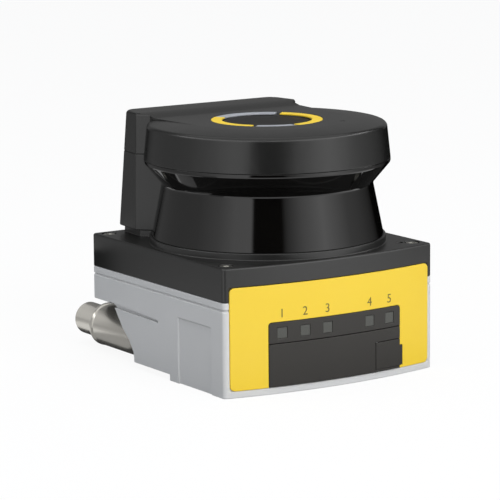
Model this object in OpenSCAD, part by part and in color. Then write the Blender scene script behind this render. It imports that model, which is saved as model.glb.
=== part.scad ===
// Safety laser scanner: a die-cast base with the plug connector and the front
// panel, a black housing that carries the head, a tinted window round the head
// over 270 degrees, and inside it a mirror that spins at 45 degrees.
// The scan axis is Z, the front is -Y and the foot stands at Z = 0.

/* [Body] */
// Width across the flat sides
body_w = 140; // [130:1:160]
// How far the rear face stands out behind the head
rear_gap = 9; // [6:0.5:20]
// Radius of the bowed front face, seen from above
front_arc_r = 310; // [250:5:600]
// Radius of the upright corners
corner_r = 2.5; // [2:0.5:8]
// Height of the joint between the two housings
joint_z = 53; // [50:1:60]
// Height of the deck that the head stands on
deck_z = 72; // [71:1:84]
// Wall of both housings
wall = 3; // [2.5:0.25:4]
// Wall behind the front panel
front_wall = 5; // [4.5:0.25:7]
// Height of the foot under the raised side walls
foot_h = 3.5; // [2:0.5:6]
// Depth of the step in each side behind the full-width foot
foot_step = 12; // [8:1:20]
// Rear end of the full-width foot
foot_y = -5.5; // [-20:1:10]
// Thickness of the floor above the foot
floor_t = 3; // [2.5:0.25:4]
// Edge break round the deck
deck_edge = 1; // [0.5:0.25:2]

/* [Connector recess] */
// Width of the recess in the rear left corner
recess_w = 32; // [30:1:36]
// Front wall of the recess
recess_y = 35; // [32:1:40]
// Ceiling of the recess
recess_z = 34; // [30:1:38]

/* [Side walls] */
// Distance of the thin line below the joint
line_drop = 4; // [2:0.5:8]
// Width and depth of the thin line
line_w = 0.8; // [0.4:0.1:1.5]
// Depth of the pocket in each side
pocket_depth = 0.9; // [0.4:0.1:1.5]
// Height of the pocket in each side
pocket_h = 37.5; // [25:0.5:42]
// Scan axis to the front end of the pocket
pocket_front = 49; // [40:1:54]
// Scan axis to the rear end of the pocket
pocket_rear = 15; // [8:1:20]

/* [Head] */
// How far the foot of the window stands in from the rim
foot_inset = 4; // [2:0.5:7]
// How far the waist of the window stands in from the rim
waist_inset = 10; // [8:0.5:14]
// Height of the plinth between deck and window
plinth_h = 4; // [2:0.5:6]
// Height of the clear cone of the window
window_h = 30; // [26:0.5:36]
// Height of the flare above the waist
flare_h = 12; // [8:0.5:16]
// Height of the upright rim of the window
rim_h = 2; // [1:0.25:4]
// Thickness of the window
window_t = 2.2; // [1.5:0.1:3]
// Height of the cap above the window
cap_h = 21.5; // [20:0.5:28]
// How far the side of the cap leans in
cap_lean = 1.8; // [0:0.1:4]
// Wall of the cap
cap_wall = 3; // [2:0.25:3.5]

/* [Tower] */
// How far the front edge of the tower stands in from the rim at the side
tower_front_inset = 13.5; // [10:0.5:15]
// How far the front edge of the tower lies forward of the rear of the rim
tower_depth = 17.5; // [15:0.5:20]
// How far the side of the tower stands in from the rim at its rear
tower_rear_inset = 15.5; // [14:0.5:20]
// Corner radius of the tower
tower_r = 8; // [5:0.5:10]
// How far the sides of the tower lean in over its height
tower_side_lean = 1.5; // [0:0.25:3]
// How far the rear of the tower leans in over its height
tower_rear_lean = 7; // [2:0.5:8]
// Rise of the top of the tower above the cap
tower_rise = 2; // [0.5:0.1:4]
// Wall of the tower
tower_wall = 2.5; // [2:0.25:3]

/* [Front panel] */
// Distance of the yellow bezel from each side
bezel_margin = 3.5; // [3:0.5:6]
// Lower edge of the bezel and of the dark panel
bezel_z = 4; // [3:0.5:5]
// Deck down to the upper edge of the bezel
bezel_drop = 11; // [8:0.5:13]
// Depth of the bezel in its recess
bezel_depth = 0.9; // [0.6:0.1:1.2]
// How far the bezel stands proud
bezel_proud = 0.3; // [0.1:0.1:0.6]
// Width of the dark panel
panel_w = 88; // [86:1:92]
// Height of the display cover
cover_h = 24; // [22:0.5:26]
// Height of the lamp strip
strip_h = 12; // [10:0.5:13]
// Depth of the dark panel in its recess
panel_depth = 2.4; // [2:0.1:3]
// How far the dark panel stands proud
panel_proud = 0.6; // [0.3:0.1:1]
// Distance between neighbouring lamps
lamp_pitch = 14.4; // [13:0.2:14.6]
// Side of a lamp window
lamp_size = 6; // [4:0.5:7]

/* [Service port] */
// Middle of the service port
port_x = 36; // [34:0.5:37]
// Height of the middle of the port
port_z = 13; // [12:0.5:14]
// Width of the opening of the port socket
port_w = 9.6; // [8:0.2:10]
// Height of the opening of the port socket
port_h = 7; // [6:0.2:7.4]
// Thickness of the port flap
flap_t = 2.2; // [1.8:0.1:2.4]
// Radius of the hinge pin of the flap
flap_pin_r = 0.6; // [0.4:0.05:0.7]

/* [Connector] */
// Distance of the connector axis from the left side
plug_inset = 17; // [16:0.5:18]
// Height of the connector axis
plug_z = 14.2; // [13.8:0.2:17]
// Radius of the large barrel
plug_r = 12.5; // [11:0.25:13]
// Radius of the nose
nose_r = 9.5; // [9:0.25:10.5]
// How far the large barrel reaches past the rear face
barrel_reach = 13; // [8:0.5:25]
// Length of the nose
nose_l = 22; // [18:0.5:30]
// Number of contacts in the outer circle
pin_count = 11; // [6:1:14]

/* [Fasteners] */
// Distance of the corner screws from the sides
screw_inset = 7.5; // [7:0.5:8.5]
// Distance of the front corner screws from the middle of the front
screw_back = 16.5; // [16:0.5:20]
// Radius of the corner screws
screw_r = 2; // [1.5:0.1:2.2]
// Radius of their heads
screw_head_r = 3.6; // [3:0.1:3.8]
// Spacing of the threaded holes in the foot across the width
foot_holes_x = 96; // [80:2:100]
// Spacing of the threaded holes in the foot from front to rear
foot_holes_y = 48; // [36:2:50]
// Core radius of the threaded mounting holes
mount_hole_r = 2.1; // [1.5:0.1:2.5]
// Depth of the threaded mounting holes
mount_hole_l = 9; // [6:0.5:12]
// Spacing of the two threaded holes in the rear face
rear_holes_x = 100; // [80:2:110]

/* [Scan drive] */
// Radius of the rotor shaft
shaft_r = 3; // [2:0.25:4]
// Outer radius of the bearings
bearing_r = 6.5; // [6:0.25:8]
// Width of a bearing
bearing_w = 4; // [3:0.5:5]
// Radius of the motor hub
hub_r = 12.5; // [11:0.25:13.5]
// Length of the motor hub
hub_l = 16; // [14:0.5:18]
// Radial length of the stator teeth
tooth_l = 4.8; // [4:0.1:7]
// Radius of the encoder disc
encoder_r = 21; // [20:0.25:22]
// Thickness of the mirror
mirror_t = 2; // [1:0.25:3]
// Number of teeth of the stator
tooth_count = 9; // [6:3:12]

/* [Electronics] */
// Thickness of every circuit board
pcb_t = 1.6; // [1:0.1:2]
// Height of the main board
board_z = 20; // [18:1:26]
// Height of the receiver board above the joint of cap and window
receiver_rise = 11; // [9.5:0.5:12]

/* [Fits] */
// Clearance of a panel in its recess
seat_gap = 0.1; // [0.05:0.05:0.2]
// Radial clearance of a shaft that turns
run_gap = 0.03; // [0.02:0.01:0.08]
// Clearance round the edges of the flap
flap_gap = 0.3; // [0.2:0.05:0.4]

/* [Hidden] */

$fn = 96;
far = 300;          // longer than any part, for cuts that run right through
skin = 0.01;        // thickness of the slices that a hull joins
half_w = body_w / 2;
bezel_w = body_w - 2 * bezel_margin;
recess_x = -half_w + recess_w;
plug_x = -half_w + plug_inset;
screw_x = half_w - screw_inset;
foot_half_w = half_w - foot_step;

// The rim of the head is as wide as the body and flush with the middle of the front
rim_r = half_w;
front_y = rim_r;
rear_y = rim_r + rear_gap;
screw_front_y = -front_y + screw_back;
window_foot_r = rim_r - foot_inset;
waist_r = rim_r - waist_inset;
tower_front_x = rim_r - tower_front_inset;
tower_front_y = rim_r - tower_depth;
tower_rear_x = rim_r - tower_rear_inset;
arc_cy = front_arc_r - front_y;

// Heights of the head, from the deck upwards
plinth_z = deck_z + plinth_h;
scan_z = plinth_z + window_h / 2;
waist_z = plinth_z + window_h;
rim_z = waist_z + flare_h;
cap_z = rim_z + rim_h;
cap_top_z = cap_z + cap_h;
tower_top_z = cap_top_z + tower_rise;
deck_under_z = deck_z - wall;
floor_z = foot_h + floor_t;
plinth_r = window_foot_r + 1.3;
board_top_z = board_z + pcb_t;

// y of the bowed front face at x, moved outwards by "out"
function face_y(x, out = 0) = arc_cy - sqrt(pow(front_arc_r + out, 2) - x * x);

module rounded_rect(x0, y0, x1, y1, r) {
    translate([x0 + r, y0]) square([x1 - x0 - 2 * r, y1 - y0]);
    translate([x0, y0 + r]) square([x1 - x0, y1 - y0 - 2 * r]);
    for (x = [x0 + r, x1 - r], y = [y0 + r, y1 - r])
        translate([x, y]) circle(r = r, $fn = 32);
}

// Outline of the body seen from above: three flat sides, a bowed front and
// rounded corners, all moved inwards by "inset"
module plan(inset = 0) {
    // the outlines inside the walls have fuller corners, of 5 mm less the inset
    r = (inset < 1.2 ? corner_r : max(corner_r, 5)) - inset;
    hx = half_w - inset;
    ry = rear_y - inset;
    arc_r = front_arc_r - inset;
    cx = hx - r;
    cy = arc_cy - sqrt(pow(arc_r - r, 2) - cx * cx);
    tx = cx * arc_r / (arc_r - r);
    intersection() {
        translate([0, arc_cy]) circle(r = arc_r, $fn = 720);
        translate([-tx, -front_y]) square([2 * tx, front_y]);
    }
    translate([-hx, cy]) square([2 * hx, ry - r - cy]);
    translate([-cx, cy]) square([2 * cx, ry - cy]);
    for (sx = [-1, 1], y = [cy, ry - r])
        translate([sx * cx, y]) circle(r = r, $fn = 48);
}

// A band of the bowed front between two depths, counted outwards from the face
module face_band(x0, x1, z0, z1, d0, d1) {
    translate([0, 0, z0]) linear_extrude(z1 - z0) intersection() {
        translate([0, arc_cy]) difference() {
            circle(r = front_arc_r + d1, $fn = 720);
            circle(r = front_arc_r + d0, $fn = 720);
        }
        translate([x0, -front_y - 10]) square([x1 - x0, front_y]);
    }
}

// Extrudes an outline drawn in X and Z right through the front wall
module through_front() {
    translate([0, -front_y / 2, 0]) rotate([90, 0, 0]) linear_extrude(front_y) children();
}

// Box given by two corners
module block(low, high) {
    translate(low) cube(high - low);
}

// Turns a body of revolution about Z onto the connector axis, with Z along +Y
module on_plug_axis() {
    translate([plug_x, 0, plug_z]) rotate([-90, 0, 0]) children();
}

module tube(r_out, r_in, z0, z1) {
    translate([0, 0, z0]) difference() {
        cylinder(r = r_out, h = z1 - z0);
        translate([0, 0, -1]) cylinder(r = r_in, h = z1 - z0 + 2);
    }
}

module disc(r, z0, z1) {
    translate([0, 0, z0]) cylinder(r = r, h = z1 - z0);
}

// ---- Base ------------------------------------------------------------

rear_screw_y = rear_y - screw_inset + 0.4;
screw_places = [for (sx = [-1, 1], y = [screw_front_y, rear_screw_y]) [sx * screw_x, y]];
screw_boss_r = 5;
foot_boss_r = 5.5;
foot_hole_places = [for (sx = [-1, 1], sy = [-1, 1])
    [sx * foot_holes_x / 2, -8 + sy * foot_holes_y / 2]];
rear_hole_z = joint_z - 10;

panel_x = panel_w / 2;
panel_top_z = bezel_z + cover_h + strip_h;
cover_top_z = bezel_z + cover_h;
bezel_top_z = deck_z - bezel_drop;

flap_x0 = port_x - 10;
flap_x1 = port_x + 10;
flap_z0 = port_z - 7.6;
flap_z1 = port_z + 7.8;
grip_z0 = port_z - 7.2;
grip_z1 = port_z + 4;
hinge_x = flap_x0 + flap_t / 2;
hinge_y = face_y(hinge_x, panel_proud - flap_t / 2);

// Outline of the dark panel with the grip of the flap, in X and Z
module panel_outline(gap) {
    rounded_rect(-panel_x - gap, bezel_z - 1, panel_x + gap, panel_top_z + gap, 2);
    translate([0, grip_z0 - flap_gap])
        square([flap_x1 + flap_gap, grip_z1 - grip_z0 + 2 * flap_gap]);
}

// The left wall ends in a slanted edge that leaves the connector free
module wall_cutout() {
    translate([-half_w - 1, 0, 0]) rotate([90, 0, 90]) linear_extrude(wall + 1.5)
        polygon([[recess_y - 2.3, -1], [recess_y - 1, 0.27 * recess_z],
            [recess_y + 3.7, 0.46 * recess_z], [recess_y + 10.7, 0.62 * recess_z],
            [recess_y + 19, 0.93 * recess_z], [recess_y + 24.5, recess_z],
            [rear_y + 1, recess_z], [rear_y + 1, -1]]);
}

// A groove that starts at the slanted edge and runs out towards the front
module wall_groove() {
    depth = 2;
    end_r = 0.8;
    translate([-half_w - 1, 0, 0]) rotate([90, 0, 90]) linear_extrude(1 + depth) hull() {
        polygon([[recess_y + 25, recess_z + 0.6], [recess_y + 21, recess_z - 2.2],
            [recess_y - 28, recess_z - 2.2 + end_r]]);
        translate([recess_y - 28, recess_z - 2.2]) circle(r = end_r, $fn = 24);
    }
}

module base_housing() {
    color("#a0a4a9") difference() {
        union() {
            difference() {
                linear_extrude(joint_z) plan();
                translate([0, 0, floor_z]) linear_extrude(joint_z) intersection() {
                    plan(wall);
                    translate([0, arc_cy]) circle(r = front_arc_r - front_wall, $fn = 720);
                }
            }
            // box round the connector recess, bosses for the screws
            intersection() {
                linear_extrude(joint_z) plan();
                union() {
                    block([-half_w, recess_y - wall, 0], [recess_x + wall, rear_y, recess_z + wall]);
                    for (p = screw_places)
                        translate([p.x, p.y, joint_z - 20]) cylinder(r = screw_boss_r, h = 20);
                    for (p = foot_hole_places)
                        translate(p) cylinder(r = foot_boss_r, h = mount_hole_l + 3);
                    for (sx = [-1, 1])
                        translate([sx * rear_holes_x / 2, rear_y - mount_hole_l - 3, rear_hole_z])
                            rotate([-90, 0, 0]) cylinder(r = 5, h = mount_hole_l + 3);
                }
            }
        }
        // connector recess, open to the rear and below, and the way of the connector
        block([-half_w + wall, recess_y, -1], [recess_x, rear_y + 1, recess_z]);
        wall_cutout();
        wall_groove();
        on_plug_axis() disc(plug_stud_r + seat_gap, recess_y - wall - 1, recess_y + 1);
        block([plug_x - nut_r - 1, stud_y - 1, plug_z - nut_r * cos(30) - 0.3],
            [plug_x + nut_r + 1, recess_y - wall, joint_z]);
        // side walls raised behind the step, two shallow pans under the floor
        for (sx = [-1, 1]) {
            mirror([sx < 0 ? 1 : 0, 0, 0])
                block([foot_half_w, foot_y, -1], [half_w + 1, rear_y + 1, foot_h]);
            block([sx * pan_x - pan_w / 2, -pan_front, -1],
                [sx * pan_x + pan_w / 2, recess_y - wall - 4, foot_h - 1]);
        }
        // pocket in each side, thin line below the joint, relief at the joint
        for (sx = [-1, 1])
            mirror([sx < 0 ? 1 : 0, 0, 0])
                block([half_w - pocket_depth, -pocket_front, -1],
                    [half_w + 1, -pocket_rear, pocket_h]);
        translate([0, 0, joint_z - line_drop - line_w]) linear_extrude(line_w) difference() {
            plan(-1);
            plan(line_w);
        }
        // groove for the seal
        translate([0, 0, joint_z - seal_h]) linear_extrude(seal_h + 1) seal_plan();
        // recesses of the bezel and the dark panel
        face_band(-bezel_w / 2 - seat_gap, bezel_w / 2 + seat_gap, bezel_z - seat_gap,
            joint_z + 1, -bezel_depth, 5);
        intersection() {
            face_band(-panel_x - 5, panel_x + 5, bezel_z - seat_gap, joint_z, -panel_depth, 5);
            through_front() panel_outline(seat_gap);
        }
        // windows of the display, the lamps and the port
        front_cut(-panel_x + 3, port_x - 14, bezel_z + 3, cover_top_z - 2);
        front_cut(-panel_x + 3, panel_x - 3, lamp_z - 3.5, lamp_z + 3.5);
        front_cut(port_x - port_w / 2 - 1.8, port_x + port_w / 2 + 1.8,
            port_z - port_h / 2 - 1.7, port_z + port_h / 2 + 1.7);
        // threaded holes
        for (p = screw_places)
            translate([p.x, p.y, joint_z - 16]) cylinder(r = screw_r, h = 17);
        for (p = foot_hole_places)
            translate([p.x, p.y, -1]) cylinder(r = mount_hole_r, h = mount_hole_l + 1);
        for (sx = [-1, 1])
            translate([sx * rear_holes_x / 2, rear_y - mount_hole_l, rear_hole_z])
                rotate([-90, 0, 0]) cylinder(r = mount_hole_r, h = mount_hole_l + 1);
    }
}

module front_cut(x0, x1, z0, z1) {
    block([x0, -front_y - 2, z0], [x1, face_y(x0) + 12, z1]);
}

pan_x = 31;
pan_w = 24;
pan_front = 46;
seal_h = 1;
module seal_plan() {
    difference() {
        plan(1.4);
        plan(2.4);
    }
}

module housing_seal() {
    color("#202020") translate([0, 0, joint_z - seal_h]) linear_extrude(seal_h) seal_plan();
}

// ---- Scanner housing -------------------------------------------------

deck_hole_r = encoder_r + 3;
backplane_w = 30;
backplane_y = rear_y - 13;
slot_x = backplane_w / 2 + 2;
tower_screw_places = [for (sx = [-1, 1]) [sx * (tower_rear_x - 10), tower_front_y + 7.5]];
head_seat_depth = 2.6;
screw_head_h = 2.2;
vent_r = 1.9;

// Slice of the tower at height z, moved inwards by "inset"
module tower_slice(z, inset = 0) {
    k = (z - plinth_z) / (tower_top_z - plinth_z);
    fx = tower_front_x - tower_side_lean * k - inset;
    fy = tower_front_y;
    rx = tower_rear_x - tower_side_lean * k - inset;
    ry = rear_y - tower_rear_lean * k - inset;
    r = tower_r - inset;
    translate([0, 0, z - skin]) linear_extrude(skin) {
        polygon([[-fx, fy], [0, fy - fx], [fx, fy]]);
        for (sx = [-1, 1])
            translate([sx * (rx - r), ry - r]) circle(r = r, $fn = 32);
    }
}

module tower_block(z0, z1, inset = 0) {
    hull() {
        tower_slice(z0 + skin, inset);
        tower_slice(z1, inset);
    }
}

// Everything behind the two 45 degree planes, "back" behind the scan axis
module rear_wedge(back) {
    translate([0, back, 0]) rotate([0, 0, 45]) cube([far, far, far]);
}

module scanner_housing() {
    color("#3a3a39") difference() {
        union() {
            difference() {
                union() {
                    translate([0, 0, joint_z]) linear_extrude(deck_z - deck_edge - joint_z) plan();
                    hull() {
                        translate([0, 0, deck_z - deck_edge]) linear_extrude(skin)
                            plan($fn = 48);
                        translate([0, 0, deck_z - skin]) linear_extrude(skin)
                            plan(deck_edge / 2);
                    }
                }
                translate([0, 0, joint_z - 1]) linear_extrude(deck_under_z - joint_z + 1)
                    plan(wall);
            }
            for (p = screw_places)
                translate([p.x, p.y, joint_z])
                    cylinder(r = screw_boss_r - 0.6, h = deck_under_z - joint_z + 1);
            // plinth under the window, and a smaller one under the tower
            disc(plinth_r, deck_z - 1, plinth_z);
            tower_block(deck_z - 1, plinth_z, 3);
        }
        // well inside the window, openings for the drive and the backplane
        disc(window_foot_r - 6, deck_z, plinth_z + 1);
        disc(deck_hole_r, joint_z, plinth_z + 1);
        block([-slot_x, backplane_y - 3, joint_z], [slot_x, backplane_y + 5, plinth_z + 1]);
        window_seal(window_foot_r - 0.4, plinth_z - foot_seal_h, plinth_z + 1);
        // corner screws in their counterbores, a small vent beside the right one
        for (p = screw_places) translate(p) {
            disc(screw_r + 0.15, joint_z - 1, deck_z + 1);
            disc(screw_head_r + 0.6, deck_z - head_seat_depth, deck_z + 1);
        }
        translate([screw_x - 6.5, screw_front_y + 3]) disc(vent_r, deck_z - 2, deck_z + 1);
        for (p = tower_screw_places)
            translate(p) disc(screw_r + 0.1, joint_z, plinth_z + 1);
        for (a = [30, 150, 270])
            rotate([0, 0, a]) translate([bracket_screw_pcr, 0])
                disc(bracket_screw_r, joint_z, deck_z - 0.5);
        // recess of the bezel
        face_band(-bezel_w / 2 - seat_gap, bezel_w / 2 + seat_gap, joint_z - 1,
            bezel_top_z + seat_gap, -bezel_depth, 5);
    }
}

module rear_tower() {
    color("#3a3a39") difference() {
        union() {
            difference() {
                tower_block(plinth_z, cap_z);
                window_envelope();
            }
            difference() {
                intersection() {
                    tower_block(plinth_z, cap_z);
                    rear_wedge(1.4);
                }
                disc(waist_r - 8, 0, far);
            }
        }
        difference() {
            intersection() {
                tower_block(plinth_z - 1, cap_z + 1, tower_wall);
                rear_wedge(4.6);
            }
            disc(waist_r - 5, 0, far);
            // columns of the screws, each joined to the side wall by a rib
            for (p = tower_screw_places) translate(p) {
                disc(screw_r + 2, 0, far);
                block([p.x > 0 ? 0 : -far, -1.5, 0], [p.x > 0 ? far : 0, 1.5, far]);
            }
        }
        for (p = tower_screw_places)
            translate(p) disc(screw_r, plinth_z - 1, plinth_z + 20);
    }
}

module tower_screws() {
    color("#8a8a84") for (p = tower_screw_places) translate(p) {
        disc(screw_r, deck_under_z, plinth_z + 18);
        difference() {
            disc(screw_head_r, deck_under_z - 3, deck_under_z);
            translate([0, 0, deck_under_z - 4]) cylinder(r = 1.8, h = 2.8, $fn = 6);
        }
    }
}

module corner_screws() {
    seat = deck_z - head_seat_depth;
    color("#8a8a84") for (p = screw_places) translate(p) {
        disc(screw_r, joint_z - 13, seat);
        difference() {
            disc(screw_head_r, seat, seat + screw_head_h);
            translate([0, 0, seat + screw_head_h - 1.3]) cylinder(r = 1.8, h = 2, $fn = 6);
        }
    }
}

// ---- Window ----------------------------------------------------------

foot_seal_h = 0.8;
rim_seal_h = 0.8;
window_seal_w = 1.4;
// horizontal thickness of the cone, and the inner corner at the waist
window_th = window_t * sqrt(1 + pow((window_foot_r - waist_r) / window_h, 2));
flare_slope = flare_h / (rim_r - waist_r);
waist_in = [waist_r - window_th, waist_z + 0.4 * window_t];
rim_in_r = rim_r - cap_wall;
rim_in_z = min(waist_in.y + (rim_in_r - waist_in.x) * flare_slope, cap_z - 0.4);

module optics_window() {
    color("#1c1b1a", 0.93) difference() {
        rotate_extrude($fn = 180) polygon([[window_foot_r, plinth_z], [waist_r, waist_z],
            [rim_r, rim_z], [rim_r, cap_z], [rim_in_r, cap_z], [rim_in_r, rim_in_z],
            waist_in, [window_foot_r - window_th, plinth_z]]);
        rear_wedge(1);
    }
}

// The space that the window takes, with a small clearance
module window_envelope() {
    rotate_extrude($fn = 180) polygon([[0, plinth_z - 1], [window_foot_r + 0.15, plinth_z - 1],
        [window_foot_r + 0.15, plinth_z], [waist_r + 0.15, waist_z], [rim_r + 0.15, rim_z],
        [rim_r + 0.15, cap_z + 1], [0, cap_z + 1]]);
}

// Seals run along the window only and stop where the tower begins
module window_seal(r, z0, z1) {
    difference() {
        tube(r, r - window_seal_w, z0, z1);
        rear_wedge(1);
    }
}

module window_foot_seal() {
    color("#202020") window_seal(window_foot_r - 0.4, plinth_z - foot_seal_h, plinth_z);
}

module window_rim_seal() {
    color("#202020") window_seal(rim_r - 0.8, cap_z, cap_z + rim_seal_h);
}

// ---- Cap -------------------------------------------------------------

ring_r = 31.6;        // outer radius of the ring on the cap
ring_w = 6;
ring_depth = 1;
inlay_r = ring_r - ring_w;
inlay_drop = 1.5;
inlay_t = 0.8;
boss_pcr = 40;
boss_r = 3.5;
boss_core_r = 1.5;
boss_places = [for (a = [45, 135, 225, 315]) [boss_pcr * cos(a), boss_pcr * sin(a)]];
frame_z = cap_z + 1.5;
frame_t = 3;
frame_r = rim_r - cap_wall - 4;
ceiling_z = cap_top_z - cap_wall;
shoulder_r = 3;
dimple_r = 1.2;
dimple_out = 12.4;    // outside the ring
dimple_angle = -47.6;

// Half section of the cap: leaning side, round shoulder, bevel and flat top
function cap_section(inset = 0) =
    let (side_r = rim_r - inset, top = cap_top_z - inset,
         cx = side_r - cap_lean - shoulder_r, cz = top - 1.4 - shoulder_r)
    concat([[0, cap_z], [side_r, cap_z]],
        [for (a = [0:15:75]) [cx + shoulder_r * cos(a), cz + shoulder_r * sin(a)]],
        [[cx - 9, top - 0.4], [cx - 19, top], [0, top]]);

module head_cap() {
    color("#3a3a39") difference() {
        union() {
            difference() {
                union() {
                    rotate_extrude($fn = 180) polygon(cap_section());
                    intersection() {
                        under_ramp();
                        union() {
                            tower_top();
                            plateau();
                        }
                    }
                }
                translate([0, 0, -skin]) rotate_extrude($fn = 180)
                    polygon(cap_section(cap_wall));
                intersection() {
                    tower_block(cap_z - 1, cap_top_z - 2, tower_wall + 0.5);
                    rear_wedge(4.6);
                }
                block([-slot_x, waist_r - 5, cap_z - 1], [slot_x, backplane_y + 3, ceiling_z - 1]);
            }
            for (p = boss_places) translate(p) disc(boss_r, frame_z + frame_t, ceiling_z + 1);
        }
        for (p = boss_places) translate(p) disc(boss_core_r, cap_z, frame_z + frame_t + 9);
        // groove of the rim seal, seats of the ring and of the inlay
        window_seal(rim_r - 0.8, cap_z - 1, cap_z + rim_seal_h);
        tube(ring_r, inlay_r - 0.5, cap_top_z - ring_depth, far);
        disc(inlay_r, cap_top_z - inlay_drop - inlay_t, far);
        rotate([0, 0, dimple_angle]) translate([ring_r + dimple_out, 0])
            disc(dimple_r, cap_top_z - 0.6, far);
    }
}

// Top of the tower, its upper edge rounded off in steps
module tower_top() {
    hull() {
        tower_slice(cap_z + skin);
        tower_slice(tower_top_z - 1.4);
        tower_slice(tower_top_z - 0.5, 0.4);
        tower_slice(tower_top_z, 1.3);
    }
}

// The space under the top faces: the flat of the cap, a ramp, the top of the tower
module under_ramp() {
    translate([-far / 2, 0, 0]) rotate([90, 0, 90]) linear_extrude(far)
        polygon([[-far, cap_top_z], [tower_front_y - 12, cap_top_z],
            [tower_front_y - 1, tower_top_z], [far, tower_top_z], [far, cap_z], [-far, cap_z]]);
}

// Flat band that runs from the tower over the bevelled shoulders of the cap
module plateau() {
    x0 = tower_rear_x - tower_side_lean - 2.6;
    intersection() {
        disc(rim_r - cap_lean - 1, cap_z + 1, far);
        linear_extrude(far)
            polygon([[5 - x0, -16], [x0 - 5, -16], [x0 - 0.8, tower_front_y - 15],
                [x0, tower_front_y], [x0, rim_r], [-x0, rim_r],
                [-x0, tower_front_y], [0.8 - x0, tower_front_y - 15]]);
    }
}

// An arc of the ring between two angles
module ring_arc(a0, a1) {
    intersection() {
        tube(ring_r, inlay_r, cap_top_z - ring_depth, cap_top_z - 0.1);
        linear_extrude(far) polygon(concat([[0, 0]],
            [for (k = [0:6]) let (a = a0 + (a1 - a0) * k / 6) [far * cos(a), far * sin(a)]]));
    }
}

module top_ring_yellow() {
    color("#f3d23c") {
        ring_arc(-87, 40);
        ring_arc(125, 220);
    }
}

module top_ring_grey() {
    color("#a0a3a9") {
        ring_arc(46, 124.4);
        ring_arc(225, 268);
    }
}

module top_inlay() {
    color("#2c2b2a") disc(inlay_r, cap_top_z - inlay_drop - inlay_t, cap_top_z - inlay_drop);
}

// ---- Front panel -----------------------------------------------------

lamp_z = cover_top_z + strip_h / 2;
lamp_places = [for (i = [-2.5, -1.5, -0.5, 1.5, 2.5]) i * lamp_pitch];
display_board_y = -front_y + 14;

module front_bezel() {
    color("#f7db52") intersection() {
        face_band(-half_w, half_w, 0, deck_z, -bezel_depth, bezel_proud);
        through_front() difference() {
            rounded_rect(-bezel_w / 2, bezel_z, bezel_w / 2, bezel_top_z, 3);
            panel_outline(2 * seat_gap);
        }
    }
}

module lamp_strip() {
    color("#454340") difference() {
        intersection() {
            face_band(-half_w, half_w, cover_top_z + 0.4, deck_z, -panel_depth, panel_proud);
            through_front() rounded_rect(-panel_x, bezel_z, panel_x, panel_top_z, 2);
        }
        for (x = lamp_places) block([x - lamp_size / 2 - seat_gap, -front_y - 5,
            lamp_z - lamp_size / 2 - seat_gap], [x + lamp_size / 2 + seat_gap,
            -front_y + 20, lamp_z + lamp_size / 2 + seat_gap]);
    }
}

module lamp_windows() {
    color("#62645f") for (x = lamp_places) {
        face_band(x - lamp_size / 2, x + lamp_size / 2, lamp_z - lamp_size / 2,
            lamp_z + lamp_size / 2, -panel_depth + 0.4, panel_proud - 0.2);
        block([x - 1.5, face_y(x) + 1, lamp_z - 1.5], [x + 1.5, display_board_y - 2, lamp_z + 1.5]);
    }
}

module indicator_leds() {
    color("#e8e6dc") for (x = lamp_places)
        block([x - 1.6, display_board_y - 2, lamp_z - 1.4], [x + 1.6, display_board_y, lamp_z + 1.4]);
}

module display_cover() {
    color("#454340") difference() {
        face_band(-panel_x, panel_x, bezel_z + seat_gap, cover_top_z, -panel_depth, panel_proud);
        block([flap_x0 - flap_gap, -far, flap_z0 - 0.2], [far, 0, flap_z1 + flap_gap]);
        translate([hinge_x, hinge_y]) disc(flap_pin_r, bezel_z + 0.4, flap_z1 + 2);
    }
}

module port_cap() {
    color("#403e3b") difference() {
        union() {
            translate([hinge_x, hinge_y]) disc(flap_t / 2, flap_z0, flap_z1);
            face_band(hinge_x, panel_x, flap_z0, flap_z1, panel_proud - flap_t, panel_proud);
            face_band(panel_x - 1, flap_x1, grip_z0, grip_z1, panel_proud - flap_t, panel_proud);
            // lip that closes the well of the port
            difference() {
                port_lip(0.6, 1.7);
                port_lip(-0.6, 3);
            }
        }
        translate([hinge_x, hinge_y]) disc(flap_pin_r + 1.5 * run_gap, flap_z0 - 1, flap_z1 + 1);
    }
}

module port_lip(grow, deep) {
    w = port_w / 2 + grow;
    h = port_h / 2 + grow;
    block([port_x - w, face_y(port_x) - panel_proud + flap_t - 0.8, port_z - h],
        [port_x + w, face_y(port_x) - panel_proud + flap_t + deep, port_z + h]);
}

module port_cap_pin() {
    color("#8a8a84") translate([hinge_x, hinge_y])
        disc(flap_pin_r, bezel_z + 0.4, flap_z1 + 2);
}

module port_socket() {
    w = port_w / 2;
    h = port_h / 2;
    front = face_y(port_x) + 4.6;
    color("#b9b9b5") difference() {
        block([port_x - w - 1.2, front, port_z - h - 1.2],
            [port_x + w + 1.2, display_board_y, port_z + h + 1.2]);
        block([port_x - w, front - 1, port_z - h], [port_x + w, display_board_y - 1, port_z + h]);
    }
}

display_t = 4.5;

module display_module() {
    color("#15181c") block([-panel_x + 5, display_board_y - display_t, bezel_z + 4],
        [flap_x0 - 5, display_board_y, cover_top_z - 3]);
}

module display_board() {
    color("#2f6b3a") block([-panel_x - 2, display_board_y, floor_z],
        [panel_x + 2, display_board_y + pcb_t, panel_top_z + 4]);
}

// ---- Connector -------------------------------------------------------

plug_stud_r = 7.5;
nut_r = plug_stud_r + 3.1;
stud_y = recess_y - wall - 8;
barrel_y = rear_y + barrel_reach;
nose_y = barrel_y + nose_l;
socket_r = nose_r - 1.5;
insert_y0 = nose_y - 14;
insert_y1 = nose_y - 8;

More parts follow.
